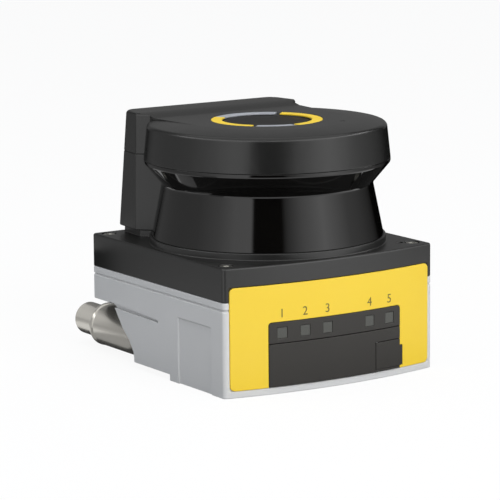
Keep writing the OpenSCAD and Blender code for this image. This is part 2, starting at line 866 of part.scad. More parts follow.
module connector_shell() {
    color("#8d8c86") on_plug_axis() difference() {
        union() {
            disc(plug_stud_r, stud_y, recess_y + 1);
            disc(plug_r, recess_y, barrel_y - 4);
            disc(plug_r - 1.5, barrel_y - 5, barrel_y);
            disc(nose_r, barrel_y - 1, nose_y);
        }
        disc(plug_stud_r - 2, stud_y - 1, insert_y0);
        disc(socket_r, insert_y0, nose_y + 1);
        tube(plug_r - 0.8, plug_r - 2.4, recess_y - 1, recess_y + 1);
    }
}

module connector_ring() {
    color("#b5b4ae") on_plug_axis() rotate_extrude()
        polygon([[plug_r - 1.5, barrel_y - 4], [plug_r + 0.3, barrel_y - 4],
            [plug_r + 0.3, barrel_y - 1], [plug_r - 0.7, barrel_y], [plug_r - 1.5, barrel_y]]);
}

module connector_seal() {
    color("#202020") on_plug_axis() tube(plug_r - 0.8, plug_r - 2.4, recess_y, recess_y + 1);
}

module connector_insert() {
    color("#2a2a2a") on_plug_axis() disc(socket_r, insert_y0, insert_y1);
}

module connector_pins() {
    color("#c9a94a") on_plug_axis() {
        for (i = [0:pin_count - 1])
            rotate([0, 0, i * 360 / pin_count]) translate([5.6, 0]) disc(0.6, insert_y1, nose_y - 2);
        for (i = [0:4])
            rotate([0, 0, i * 72]) translate([2.6, 0]) disc(0.6, insert_y1, nose_y - 2);
    }
}

module connector_nut() {
    color("#8d8c86") on_plug_axis() translate([0, 0, recess_y - wall - 5]) difference() {
        cylinder(r = nut_r, h = 5, $fn = 6);
        translate([0, 0, -1]) cylinder(r = plug_stud_r, h = 7);
    }
}

// ---- Boards in the base ----------------------------------------------

connector_board_h = 30;
board_x0 = recess_x + wall + 3;
board_x1 = half_w - wall - 8;
board_y0 = display_board_y + 7;
board_y1 = rear_y - wall - 4;
memory_x = 2;
memory_back = 13;     // from the front edge of the board
memory_w = 24;
memory_l = 14;
memory_h = 6;
processor_w = 17;
processor_back = 37;
processor_h = 1.6;
ram_x = 24;
ram_back = 39;
ram_w = 12;
ram_l = 8;
ram_h = 1.2;
ram_pitch = 14;
coil_x = 18;
coil_w = 10;
coil_h = 4;
capacitor_x = 40;
capacitor_r = 4;
capacitor_h = 10;
capacitor_pitch = 11;
// The spacers stand clear of the bosses of the foot holes
spacer_r = 3.2;
spacer_core_r = 1.5;
spacer_x = foot_holes_x / 2 - foot_boss_r - spacer_r - 1.3;
spacer_places = [for (x = [board_x0 + 6, spacer_x], y = [board_y0 + 6, board_y1 - 12]) [x, y]];

module connector_board() {
    color("#2f6b3a") block([plug_x - 11, stud_y - pcb_t, floor_z],
        [recess_x + wall + 1, stud_y, floor_z + connector_board_h]);
}

module board_link() {
    color("#d8d5c8") block([recess_x + wall - 4, stud_y - pcb_t - 6, board_top_z],
        [board_x0 + 6, stud_y - pcb_t, board_top_z + 7]);
}

module main_board() {
    color("#2f6b3a") difference() {
        block([board_x0, board_y0, board_z], [board_x1, board_y1, board_top_z]);
        for (p = spacer_places)
            translate(p) disc(spacer_core_r + 0.1, board_z - 1, board_top_z + 1);
    }
}

module board_spacers() {
    color("#c9c3a5") for (p = spacer_places)
        translate(p) tube(spacer_r, spacer_core_r, floor_z, board_z);
}

module board_screws() {
    color("#8a8a84") for (p = spacer_places) translate(p) {
        disc(spacer_core_r, board_z - 8, board_top_z);
        disc(spacer_r - 0.4, board_top_z, board_top_z + 1.8);
    }
}

// Processor, memories, supply coil and capacitors
module board_components() {
    color("#232323") translate([0, board_y0, board_top_z]) {
        translate([0, processor_back, 0]) cube([processor_w, processor_w, processor_h]);
        for (i = [0:1]) translate([ram_x, ram_back + i * ram_pitch, 0])
            cube([ram_w, ram_l, ram_h]);
        translate([-coil_x, ram_back + ram_pitch + 4, 0]) cube([coil_w, coil_w, coil_h]);
        for (i = [0:2]) translate([capacitor_x, processor_back + 32 + i * capacitor_pitch])
            cylinder(r = capacitor_r, h = capacitor_h);
    }
}

module memory_module() {
    color("#3b5a8a") translate([memory_x, board_y0 + memory_back, board_top_z])
        cube([memory_w, memory_l, memory_h]);
}

module backplane_board() {
    color("#2f6b3a") block([-backplane_w / 2, backplane_y, board_top_z],
        [backplane_w / 2, backplane_y + pcb_t, cap_z + receiver_rise]);
}

module backplane_socket() {
    color("#d8d5c8") block([-backplane_w / 2, backplane_y - 4, board_top_z],
        [backplane_w / 2, backplane_y, board_top_z + 7]);
}

// ---- Scan drive ------------------------------------------------------

bracket_r = deck_hole_r + 8;
bracket_t = 3;
bracket_z = deck_under_z - bracket_t;
bracket_screw_pcr = deck_hole_r + 4;
bracket_screw_r = 1.5;
hub_z = bracket_z - hub_l;
cup_wall = 1.2;
magnet_t = 1.3;
cup_z = hub_z - 5;
air_gap = 0.7;
stator_r = hub_r + tooth_l;
magnet_r = stator_r + air_gap;
cup_r = magnet_r + magnet_t + cup_wall;
stator_z0 = hub_z - 0.5;
stator_z1 = hub_z + 9.5;
mirror_r = window_h / 2 + 1;
carrier_z = scan_z - mirror_r - 3.3;
encoder_z = carrier_z - 1.3;
encoder_t = 0.8;
rotor_hub_r = 7;
shaft_top_z = carrier_z + 8.3;

module motor_bracket() {
    color("#b4b6b8") difference() {
        union() {
            disc(bracket_r, bracket_z, deck_under_z);
            disc(hub_r, hub_z, bracket_z + 1);
        }
        disc(bearing_r, hub_z - 1, hub_z + bearing_w);
        disc(bearing_r - 1, hub_z, bracket_z);
        disc(bearing_r, bracket_z - bearing_w, bracket_z);
        disc(rotor_hub_r + 0.5, bracket_z, deck_z);
        for (a = [30, 150, 270])
            rotate([0, 0, a]) translate([bracket_screw_pcr, 0])
                disc(bracket_screw_r + 0.1, bracket_z - 1, deck_z);
    }
}

module bracket_screws() {
    color("#8a8a84") for (a = [30, 150, 270])
        rotate([0, 0, a]) translate([bracket_screw_pcr, 0]) {
            disc(bracket_screw_r, bracket_z, deck_z - 1);
            disc(2.7, bracket_z - 2.2, bracket_z);
        }
}

module shaft_bearings() {
    color("#9fa2a5") for (z = [hub_z, bracket_z - bearing_w])
        tube(bearing_r, shaft_r + run_gap, z, z + bearing_w);
}

module motor_stator() {
    color("#7d7f82") translate([0, 0, stator_z0]) linear_extrude(stator_z1 - stator_z0)
        difference() {
            union() {
                circle(r = hub_r + 1.3);
                for (i = [0:tooth_count - 1]) rotate([0, 0, i * 360 / tooth_count]) {
                    translate([hub_r, -1.1]) square([stator_r - hub_r - 0.3, 2.2]);
                    translate([stator_r - 1.3, -2.2]) square([1, 4.4]);
                }
            }
            circle(r = hub_r);
        }
}

module motor_coils() {
    color("#b5763a") for (i = [0:tooth_count - 1]) rotate([0, 0, i * 360 / tooth_count])
        difference() {
            block([hub_r + 1.6, -2, stator_z0 - 1.2], [stator_r - 1.5, 2, stator_z1 + 1.2]);
            block([hub_r, -1.1, stator_z0], [stator_r, 1.1, stator_z1]);
        }
}

module rotor_shaft() {
    color("#a9abad") disc(shaft_r, cup_z, shaft_top_z);
}

module rotor_cup() {
    color("#6f7275") {
        tube(cup_r, shaft_r, cup_z, cup_z + 1.6);
        tube(5, shaft_r, cup_z + 1, hub_z - 1.2);
        tube(cup_r, cup_r - cup_wall, cup_z + 1, stator_z1 + 0.5);
    }
}

module rotor_magnet() {
    color("#3c3c3e") tube(cup_r - cup_wall, magnet_r, cup_z + 1.6, stator_z1 + 0.5);
}

module encoder_disc() {
    color("#c8d4dc") tube(encoder_r, rotor_hub_r, encoder_z, encoder_z + encoder_t);
}

module encoder_sensor() {
    color("#232323") difference() {
        block([encoder_r - 2.5, -4, deck_under_z], [deck_hole_r - 0.6, 4, encoder_z + 3]);
        block([0, -5, encoder_z - 0.5], [encoder_r + 1, 5, encoder_z + encoder_t + 0.5]);
    }
}

// Turns the plane Z = 0 into the mirror plane, which throws the beam forwards
module on_mirror_plane() {
    translate([0, 0, scan_z]) rotate([45, 0, 0]) children();
}

module mirror_carrier() {
    color("#4a4c4e") difference() {
        union() {
            disc(rotor_hub_r, bracket_z + 1, carrier_z + 1);
            intersection() {
                disc(mirror_r, carrier_z, waist_z + 1);
                on_mirror_plane() translate([-far / 2, -far / 2, -far - mirror_t]) cube(far);
            }
        }
        disc(shaft_r, 0, shaft_top_z);
    }
}

module scan_mirror() {
    color("#d9dde0") intersection() {
        disc(mirror_r, carrier_z - 1, waist_z + 1);
        on_mirror_plane() translate([-far / 2, -far / 2, -mirror_t]) cube([far, far, mirror_t]);
    }
}

// ---- Optics in the cap -----------------------------------------------

barrel_r = 19;
lens_r = barrel_r - 2;
lens_z = waist_z + 7.5;
laser_r = 4;
receiver_z = cap_z + receiver_rise;
receiver_board_r = boss_pcr + 8;

module optics_frame() {
    color("#b4b6b8") difference() {
        disc(frame_r, frame_z, frame_z + frame_t);
        disc(barrel_r + seat_gap, cap_z, far);
        for (p = boss_places) translate(p) disc(boss_core_r + 0.1, cap_z, far);
    }
}

module cap_screws() {
    color("#8a8a84") for (p = boss_places) translate(p) {
        disc(boss_core_r, frame_z, frame_z + frame_t + 7);
        disc(boss_r - 0.7, frame_z - 1.8, frame_z);
    }
}

module lens_barrel() {
    color("#232323") difference() {
        union() {
            disc(barrel_r, lens_z - 1, receiver_z);
            disc(barrel_r + 4, frame_z + frame_t, frame_z + frame_t + 2);
        }
        disc(lens_r, lens_z, far);
        disc(lens_r - 1.5, 0, far);
    }
}

// Plano-convex lens with a hole for the laser tube
module receiver_lens() {
    ball_r = 32;
    lens_h = 6;
    color("#c8d4dc", 0.5) difference() {
        intersection() {
            disc(lens_r - 0.05, lens_z, lens_z + lens_h);
            translate([0, 0, lens_z + lens_h - ball_r]) sphere(r = ball_r, $fn = 128);
        }
        disc(laser_r + 0.1, 0, far);
    }
}

module laser_module() {
    color("#b08d3c") {
        disc(laser_r, lens_z - 2.5, receiver_z);
        disc(laser_r + 2, receiver_z - 3, receiver_z + pcb_t + 4);
        disc(laser_r + 5, receiver_z + pcb_t, receiver_z + pcb_t + 1);
    }
}

module receiver_board() {
    color("#2f6b3a") difference() {
        union() {
            disc(receiver_board_r, receiver_z, receiver_z + pcb_t);
            block([-backplane_w / 2 - 1, receiver_board_r - 8, receiver_z],
                [backplane_w / 2 + 1, backplane_y + pcb_t + 1, receiver_z + pcb_t]);
        }
        disc(laser_r + 2.1, 0, far);
        for (p = boss_places) translate(p) disc(boss_r + 0.5, 0, far);
    }
}

module receiver_sensor() {
    color("#9fa2a5") translate([0, laser_r + 7]) disc(4, receiver_z - 3, receiver_z);
}

// Lamps under the window and receivers above it that watch it for dirt
monitor_angles = [-210, -170, -130, -90, -50, -10, 30];

module monitor_emitters() {
    color("#5a2a2a") for (a = monitor_angles) rotate([0, 0, a])
        translate([window_foot_r - 9, 0]) disc(2.2, deck_z, plinth_z - 0.5);
}

module monitor_receivers() {
    color("#5a2a2a") for (a = monitor_angles) rotate([0, 0, a])
        translate([frame_r - 8, 0]) disc(2, frame_z - 3, frame_z);
}

base_housing();
housing_seal();
scanner_housing();
rear_tower();
optics_window();
window_foot_seal();
window_rim_seal();
head_cap();
top_ring_yellow();
top_ring_grey();
top_inlay();
corner_screws();
tower_screws();
front_bezel();
lamp_strip();
lamp_windows();
display_cover();
port_cap();
port_cap_pin();
port_socket();
display_module();
display_board();
indicator_leds();
connector_shell();
connector_ring();
connector_insert();
connector_pins();
connector_seal();
connector_nut();
connector_board();
board_link();
main_board();
board_spacers();
board_screws();
board_components();
memory_module();
backplane_board();
backplane_socket();
motor_bracket();
bracket_screws();
shaft_bearings();
motor_stator();
motor_coils();
rotor_shaft();
rotor_cup();
rotor_magnet();
encoder_disc();
encoder_sensor();
mirror_carrier();
scan_mirror();
optics_frame();
cap_screws();
lens_barrel();
receiver_lens();
laser_module();
receiver_board();
receiver_sensor();
monitor_emitters();
monitor_receivers();
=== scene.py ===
"""Safety laser scanner: a grey die-cast base with its plug connector and yellow
front panel, a black upper housing with a tower behind, and a round head with a
dark window all round the front. Lengths are in metres."""
from math import asin, cos, pi, radians, sin, sqrt

import bmesh
import bpy
from mathutils import Matrix, Vector


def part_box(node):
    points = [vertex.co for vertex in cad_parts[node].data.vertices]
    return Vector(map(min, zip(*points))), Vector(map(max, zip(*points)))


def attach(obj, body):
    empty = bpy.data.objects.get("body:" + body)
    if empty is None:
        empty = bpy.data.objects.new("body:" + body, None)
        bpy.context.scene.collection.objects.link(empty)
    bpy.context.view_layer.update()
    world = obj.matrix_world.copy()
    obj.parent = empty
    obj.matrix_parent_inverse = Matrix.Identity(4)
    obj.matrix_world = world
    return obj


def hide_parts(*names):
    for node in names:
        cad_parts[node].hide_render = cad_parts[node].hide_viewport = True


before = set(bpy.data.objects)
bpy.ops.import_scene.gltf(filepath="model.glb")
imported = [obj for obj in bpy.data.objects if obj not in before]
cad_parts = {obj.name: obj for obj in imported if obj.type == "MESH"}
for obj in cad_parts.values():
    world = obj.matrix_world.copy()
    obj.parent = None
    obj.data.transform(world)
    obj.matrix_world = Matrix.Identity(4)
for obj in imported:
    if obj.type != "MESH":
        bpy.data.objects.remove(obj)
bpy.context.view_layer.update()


# ---- Camera ------------------------------------------------------------
# A long lens looks at the front left corner from slightly above. It stands on
# the line from its target at this azimuth, counted from the front to the right.

MM = 0.001
camera_azimuth = radians(-33.06)
camera_elevation = radians(10.2)
camera_roll = radians(-0.48)
camera_distance = 1.6
camera_target = Vector((-6.87, 8.0, 65.69)) * MM

camera_data = bpy.data.cameras.new("camera")
camera_data.sensor_width = 36
camera_data.lens = 201.6
camera_data.clip_end = 50
camera = bpy.data.objects.new("camera", camera_data)
bpy.context.scene.collection.objects.link(camera)
towards_camera = Vector((
    sin(camera_azimuth) * cos(camera_elevation),
    -cos(camera_azimuth) * cos(camera_elevation),
    sin(camera_elevation)))
look = (-towards_camera).to_track_quat("-Z", "Y").to_matrix()
camera.matrix_world = (Matrix.Translation(camera_target + camera_distance * towards_camera)
                       @ (look @ Matrix.Rotation(camera_roll, 3, "Z")).to_4x4())
bpy.context.scene.camera = camera
bpy.context.scene.view_settings.view_transform = "Standard"


# ---- Studio ------------------------------------------------------------
# A pale floor and a white surround, with a strong soft box to the right of the
# camera, a weak one to its left and one above. A graded tent, seen only in
# reflections, gives the glossy window its soft vertical bands.

def linear(hex_colour):
    """sRGB hex to the linear colour of a shader socket."""
    channels = [int(hex_colour[i:i + 2], 16) / 255 for i in (1, 3, 5)]
    return (*[c / 12.92 if c <= 0.04045 else ((c + 0.055) / 1.055) ** 2.4 for c in channels], 1)


def add(material, kind, inputs=None, **settings):
    """Adds a node. inputs maps a socket's name or number to another socket or to a value;
    settings are its plain values, by property or by socket name."""
    tree = material.node_tree
    node = tree.nodes.new("ShaderNode" + kind)
    by_name = {socket.name.lower().replace(" ", "_"): socket for socket in reversed(node.inputs)}
    for key, value in settings.items():
        if key in by_name:
            by_name[key].default_value = value
        else:
            setattr(node, key, value)
    for key, value in (inputs or {}).items():
        if isinstance(value, bpy.types.NodeSocket):
            tree.links.new(value, node.inputs[key])
        else:
            node.inputs[key].default_value = value
    return node


def empty_material(name):
    """A material that still has to be given its nodes."""
    material = bpy.data.materials.new(name)
    material.use_nodes = True
    material.node_tree.nodes.clear()
    return material


def seen_directly(tree_owner):
    """1 for rays that show the background itself: camera, mirror and see-through rays."""
    ray = add(tree_owner, "LightPath").outputs
    opaque = add(tree_owner, "Math", {0: ray["Is Camera Ray"], 1: ray["Is Glossy Ray"]},
                 operation="MAXIMUM")
    return add(tree_owner, "Math", {0: opaque.outputs[0], 1: ray["Is Transmission Ray"]},
               operation="MAXIMUM").outputs[0]


# World: white where it is seen, and a dimmer, slightly cool light on the object
world = bpy.data.worlds.new("studio")
world.use_nodes = True
world.node_tree.nodes.clear()
room_light = add(world, "Background", color=linear("#f2f7ff"), strength=0.5)
white_surround = add(world, "Background", color=linear("#ffffff"), strength=1.0)
surround = add(world, "MixShader", {0: seen_directly(world), 1: room_light.outputs[0],
                                    2: white_surround.outputs[0]})
add(world, "OutputWorld", {"Surface": surround.outputs[0]})
bpy.context.scene.world = world

# Matt white floor: nearly white where it is seen, with a soft shadow left on it, and
# a mid grey for the light that it throws back at the object
floor_half_width = 9
floor_material = empty_material("matt_white_floor")
paint = add(floor_material, "BsdfDiffuse", color=linear("#f4f4f4"))
dim_paint = add(floor_material, "BsdfDiffuse", color=linear("#a8a8a8"))
glow = add(floor_material, "Emission", color=linear("#ffffff"), strength=1.0)
lit_paint = add(floor_material, "MixShader", {1: paint.outputs[0], 2: glow.outputs[0]}, fac=0.92)
floor_mix = add(floor_material, "MixShader", {0: seen_directly(floor_material),
                                              1: dim_paint.outputs[0], 2: lit_paint.outputs[0]})
add(floor_material, "OutputMaterial", {"Surface": floor_mix.outputs[0]})

floor_mesh = bmesh.new()
bmesh.ops.create_grid(floor_mesh, x_segments=1, y_segments=1, size=floor_half_width)
floor_data = bpy.data.meshes.new("floor")
floor_mesh.to_mesh(floor_data)
floor_mesh.free()
floor_data.materials.append(floor_material)
studio_floor = bpy.data.objects.new("studio_floor", floor_data)
bpy.context.scene.collection.objects.link(studio_floor)

object_middle = Vector((0, 0, 80)) * MM


def soft_box(name, azimuth, elevation, distance, width, height, radiance):
    """An area lamp aimed at the object, seen from it at this azimuth and elevation."""
    lamp = bpy.data.lights.new(name, "AREA")
    lamp.shape = "RECTANGLE"
    lamp.size, lamp.size_y = width, height
    lamp.energy = radiance * pi * width * height
    holder = bpy.data.objects.new(name, lamp)
    bpy.context.scene.collection.objects.link(holder)
    holder.visible_glossy = False
    a, e = radians(azimuth), radians(elevation)
    direction = Vector((sin(a) * cos(e), -cos(a) * cos(e), sin(e)))
    holder.matrix_world = (Matrix.Translation(object_middle + distance * direction)
                           @ (-direction).to_track_quat("-Z", "Y").to_matrix().to_4x4())


soft_box("right_soft_box", azimuth=2, elevation=24, distance=1.9, width=1.1, height=1.5,
         radiance=3.4)
soft_box("left_soft_box", azimuth=-66, elevation=24, distance=1.9, width=1.1, height=1.5,
         radiance=0.2)
soft_box("top_soft_box", azimuth=-20, elevation=80, distance=1.6, width=1.4, height=1.4,
         radiance=2.2)


def only_in_reflections(name, shell, material):
    """Stage piece that shows in glossy surfaces and nowhere else."""
    data = bpy.data.meshes.new(name)
    shell.to_mesh(data)
    shell.free()
    data.materials.append(material)
    piece = bpy.data.objects.new(name, data)
    bpy.context.scene.collection.objects.link(piece)
    for ray in ("camera", "diffuse", "shadow", "transmission", "volume_scatter"):
        setattr(piece, "visible_" + ray, False)


# What the glossy surfaces mirror: a tall round tent, its brightness in tenths of white
# at each bearing, counted in degrees from the camera to the right
tent_radius = 3.0
tent_height = 3.2
tent_sides = 120
full_level = 20
tent_levels = [(-150, 0), (-136, 2), (-105, 3.5), (-75, 5), (-51, 8), (-34, 12), (-17, 12.5),
               (-14, 0), (14, 0), (19, 3.5), (35, 10), (58, 16.5), (90, 6), (119, 2), (140, 0)]
tent_cloth = empty_material("graded_tent")
place = add(tent_cloth, "TexCoord").outputs["Object"]
turned = add(tent_cloth, "VectorRotate", {"Vector": place}, rotation_type="Z_AXIS",
             angle=-camera_azimuth)
across = add(tent_cloth, "SeparateXYZ", {"Vector": turned.outputs["Vector"]})
behind = add(tent_cloth, "Math", {0: across.outputs["Y"], 1: -1.0}, operation="MULTIPLY")
bearing = add(tent_cloth, "Math", {0: across.outputs["X"], 1: behind.outputs[0]},
              operation="ARCTAN2")
along_ramp = add(tent_cloth, "MapRange", {"Value": bearing.outputs[0]}, from_min=-pi, from_max=pi)
ramp = add(tent_cloth, "ValToRGB", {"Fac": along_ramp.outputs["Result"]})
for bearing_deg, level in tent_levels:
    stop = ramp.color_ramp.elements.new((bearing_deg + 180) / 360)
    stop.color = (*[level / full_level] * 3, 1)
for end in (0, -1):
    ramp.color_ramp.elements[end].color = (0, 0, 0, 1)
cloth_glow = add(tent_cloth, "Emission", {"Color": ramp.outputs["Color"]},
                 strength=full_level / 10)
add(tent_cloth, "OutputMaterial", {"Surface": cloth_glow.outputs[0]})

tent = bmesh.new()
bmesh.ops.create_cone(tent, cap_ends=False, segments=tent_sides, radius1=tent_radius,
                      radius2=tent_radius, depth=tent_height,
                      matrix=Matrix.Translation((0, 0, tent_height / 2)))
only_in_reflections("graded_tent", tent, tent_cloth)


def cloth(name, level, corners):
    """An evenly bright cloth between these corners that only reflections see; a level of 1
    is white."""
    material = empty_material(name)
    even_glow = add(material, "Emission", color=linear("#ffffff"), strength=level)
    add(material, "OutputMaterial", {"Surface": even_glow.outputs[0]})
    sheet = bmesh.new()
    sheet.faces.new([sheet.verts.new(corner) for corner in corners])
    only_in_reflections(name, sheet, material)


def level_arc(radius, height, start, end, steps=24):
    """Points of an arc round the object; its angles count from the camera to the right."""
    angles = [camera_azimuth + radians(start + (end - start) * i / steps)
              for i in range(steps + 1)]
    return [(radius * sin(a), -radius * cos(a), height) for a in angles]


def level_disc(radius, height, sides):
    """Corners of a level disc round the object."""
    return level_arc(radius, height, 0, 360 - 360 / sides, sides - 1)


# Far floor: the tent's own bands run on over it, as far as the cloths round the object
cloth_radius = 0.32
cloth_height = 0.2 * MM
far_floor = bmesh.new()
bmesh.ops.create_cone(far_floor, cap_ends=False, segments=tent_sides, radius1=tent_radius,
                      radius2=cloth_radius, depth=cloth_height,
                      matrix=Matrix.Translation((0, 0, cloth_height / 2)))
only_in_reflections("far_floor", far_floor, tent_cloth)

for name, level, start, end in (("pale_cloth", 1.15, -45, 115),
                                ("black_cloth", 0.03, 115, 228),
                                ("grey_cloth", 0.48, 228, 315)):
    cloth(name, level, [(0, 0, cloth_height)] + level_arc(cloth_radius, cloth_height, start, end))

# Close to its foot the object shades the floor on all sides
cloth("shade_cloth", 0.05, level_disc(0.15, 2 * cloth_height, 48))


def mat(name, level, x0, y0, x1, y1):
    """Cloth that lies flat over the others, between two corners in millimetres."""
    cloth(name, level, [(x * MM, y * MM, 3 * cloth_height)
                        for x, y in ((x0, y0), (x1, y0), (x1, y1), (x0, y1))])


def card(name, level, y, x0, z0, x1, z1):
    """Cloth that stands upright across the plug, between two corners in millimetres."""
    cloth(name, level, [(x * MM, y * MM, z * MM)
                        for x, z in ((x0, z0), (x1, z0), (x1, z1), (x0, z1))])


# The plug mirrors cloths that only reflections see. A dark mat below it and a dark card
# over its barrel are painted shade, for the shade under the plug and under the casting's
# overhang. Paler mats beside its barrel, nose and ring and a pale card behind its nose
# are painted reflections of light.
mat("under_plug", 0.05, -61, 30, -10, 190)
mat("beside_barrel", 0.36, -95, 60, -64, 110)
mat("beside_nose", 0.8, -95, 110, -63, 152)
mat("beside_ring", 0.85, -180, 20, -112, 118)
card("card_over_barrel", 0.03, 87.5, -90, 28, -50, 60)
card("card_behind_nose", 0.6, 150, -110, 15, -45, 60)


def screen(name, level, start, end, low, high, radius=2.8, widest=10):
    """Upright screen round the object between two bearings and two heights. It is made of
    flat cloths, each at most about this many degrees wide."""
    count = round((end - start) / widest)
    for number in range(count):
        first = start + (end - start) * number / count
        last = start + (end - start) * (number + 1) / count
        cloth("%s_%d" % (name, number + 1), level, level_arc(radius, low, first, last, 1)
              + level_arc(radius, high, last, first, 1))


# A grey screen behind lifts the flat tops, a bright hoop draws a thin light line
# along each rounded upper edge, and a grey ceiling keeps the rounds between them dim
screen("rear_screen", 0.2, 150, 210, 0.05, 3.2)
screen("edge_hoop", 3.0, -105, 130, 1.55, 2.25)
cloth("grey_ceiling", 0.8, level_disc(2.9, 3.25, 24))


# ---- Cast base ---------------------------------------------------------
# The lower housing is one aluminium die casting, powder coated light grey. It
# carries the boards and the plug connector, and the upper housing is screwed
# down on it. Mould and coat leave every outer edge softly rounded.

cast_edge = 0.5 * MM
same_point = 0.002 * MM
same_plane = radians(0.4)
sharp_angle = radians(28)


def rounded_copy(node, name, radius, shortest=0.03 * MM, crisp=None):
    """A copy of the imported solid, its flat faces joined, edges below the shortest closed up
    and its sharp edges rounded off, apart from those that crisp() picks out."""
    solid = bmesh.new()
    solid.from_mesh(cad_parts[node].data)
    bmesh.ops.remove_doubles(solid, verts=solid.verts, dist=same_point)
    bmesh.ops.dissolve_degenerate(solid, dist=shortest, edges=solid.edges)
    bmesh.ops.dissolve_limit(solid, angle_limit=same_plane, verts=solid.verts,
                             edges=solid.edges)
    return finished_piece(solid, name, radius, crisp)


def finished_piece(solid, name, radius=0, crisp=None):
    """Puts the mesh in an object. A bevel of this radius, if any, rounds its sharp edges."""
    share = solid.edges.layers.float.new("bevel_weight_edge")
    for edge in solid.edges:
        if edge.is_manifold and edge.calc_face_angle() > sharp_angle:
            edge[share] = 0.0 if crisp and crisp(edge) else 1.0
    data = bpy.data.meshes.new(name)
    solid.to_mesh(data)
    solid.free()
    data.polygons.foreach_set("use_smooth", [True] * len(data.polygons))
    data.set_sharp_from_angle(angle=sharp_angle)
    piece = bpy.data.objects.new(name, data)
    bpy.context.scene.collection.objects.link(piece)
    if radius:
        bevel = piece.modifiers.new("edge_radius", "BEVEL")
        bevel.width = radius
        bevel.segments = 2
        bevel.limit_method = "WEIGHT"
        bevel.use_clamp_overlap = False
        bevel.miter_outer = "MITER_ARC"
    weighted = piece.modifiers.new("flat_faces", "WEIGHTED_NORMAL")
    weighted.keep_sharp = True
    weighted.weight = 50
    return piece


def seat(piece, body, slot, material, *nodes):
    """Finishes the piece in its material and lets it ride on its body, in place of the
    solids that are named last."""
    piece.data.materials.clear()
    piece.data.materials.append(material)
    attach(piece, body)
    if nodes:
        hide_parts(*nodes)


# Powder coat: matt, with a fine orange peel of about 0.8 mm
powder_coat = empty_material("powder_coated_casting")
place = add(powder_coat, "TexCoord").outputs["Object"]
cloud = add(powder_coat, "TexNoise", {"Vector": place}, scale=1 / (35 * MM), detail=2.0)
coat_colour = add(powder_coat, "ValToRGB", {"Fac": cloud.outputs["Fac"]})
coat_colour.color_ramp.elements[0].color = linear("#d9d9d8")
coat_colour.color_ramp.elements[1].color = linear("#dfdfde")
peel = add(powder_coat, "TexNoise", {"Vector": place}, scale=1 / (0.8 * MM), detail=3.0)
peel_bump = add(powder_coat, "Bump", {"Height": peel.outputs["Fac"]}, strength=0.25,
                distance=0.04 * MM)
coat = add(powder_coat, "BsdfPrincipled", {"Base Color": coat_colour.outputs["Color"],
                                           "Normal": peel_bump.outputs["Normal"]},
           roughness=0.48)
add(powder_coat, "OutputMaterial", {"Surface": coat.outputs["BSDF"]})


def middle_of(edge):
    """Middle of an edge, in millimetres."""
    return (edge.verts[0].co + edge.verts[1].co) / 2 / MM


def on_side_groove(edge):
    """The edges of the groove in the left wall, which stay as crisp as the mould made them."""
    x, y, z = middle_of(edge)
    return x < -66 and 5 < y < 62 and 30 < z < 36


cast_base = rounded_copy("base_housing", "cast_base", cast_edge, crisp=on_side_groove)
seat(cast_base, "root", "grey_diecast", powder_coat, "base_housing")


# ---- Plug connector ----------------------------------------------------
# A nickel-plated brass plug, turned from the bar, comes out of the rear left
# corner: a plain barrel, a rounded coupling ring, and a narrower nose. A nut inside
# the casting holds it on a rubber seal, and a moulded insert carries its contacts.

turned_edge = 0.3 * MM
fine_gap = 0.001 * MM

# Bright nickel; the tool's marks run round the axis as thin bands, 0.35 mm apart along Y
nickel = empty_material("nickel_plated_brass")
place = add(nickel, "TexCoord").outputs["Object"]
along = add(nickel, "Mapping", {"Vector": place}, scale=(0, 1 / (0.35 * MM), 0))
marks = add(nickel, "TexNoise", {"Vector": along.outputs["Vector"]}, scale=1.0, detail=2.0)
marks_bump = add(nickel, "Bump", {"Height": marks.outputs["Fac"]}, strength=0.12,
                 distance=0.02 * MM)
plated = add(nickel, "BsdfPrincipled", {"Normal": marks_bump.outputs["Normal"]},
             base_color=linear("#d9d6ce"), metallic=1.0, roughness=0.27)
add(nickel, "OutputMaterial", {"Surface": plated.outputs["BSDF"]})
seat(rounded_copy("connector_shell", "plug_barrel", turned_edge), "root", "plated_metal",
     nickel, "connector_shell")

ring_low, ring_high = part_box("connector_ring")
axis_x, axis_z = (ring_low.x + ring_high.x) / 2, (ring_low.z + ring_high.z) / 2
bead_radius = ring_high.x - axis_x
bead_length = ring_high.y - ring_low.y
bead_depth = 1.8 * MM
bead_drop = 1.7 * MM    # how far its round falls off to both ends
bead_crest = 0.85       # where its crest lies, as a share of its length
bead_steps = 12
bead = bmesh.new()
section = [(bead_radius - bead_depth, 0.0), (bead_radius - bead_depth, bead_length)]
for step in range(bead_steps + 1):
    turn = pi * step / bead_steps
    run = 1 - bead_crest if turn < pi / 2 else bead_crest
    section.append((bead_radius - bead_drop * (1 - sin(turn)),
                    bead_length * (bead_crest + run * cos(turn))))
bead.faces.new([bead.verts.new((axis_x + r, ring_low.y + y, axis_z)) for r, y in section])
bmesh.ops.spin(bead, geom=bead.verts[:] + bead.edges[:] + bead.faces[:],
               cent=(axis_x, 0, axis_z), axis=(0, 1, 0), angle=2 * pi, steps=96,
               use_merge=True)
bmesh.ops.remove_doubles(bead, verts=bead.verts, dist=fine_gap)
bmesh.ops.recalc_face_normals(bead, faces=bead.faces)
seat(finished_piece(bead, "plug_ring"), "root", "plated_metal", nickel, "connector_ring")


def refinish(material, *names):
    """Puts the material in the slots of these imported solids."""
    for name in names:
        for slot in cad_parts[name].material_slots:
            slot.material = material


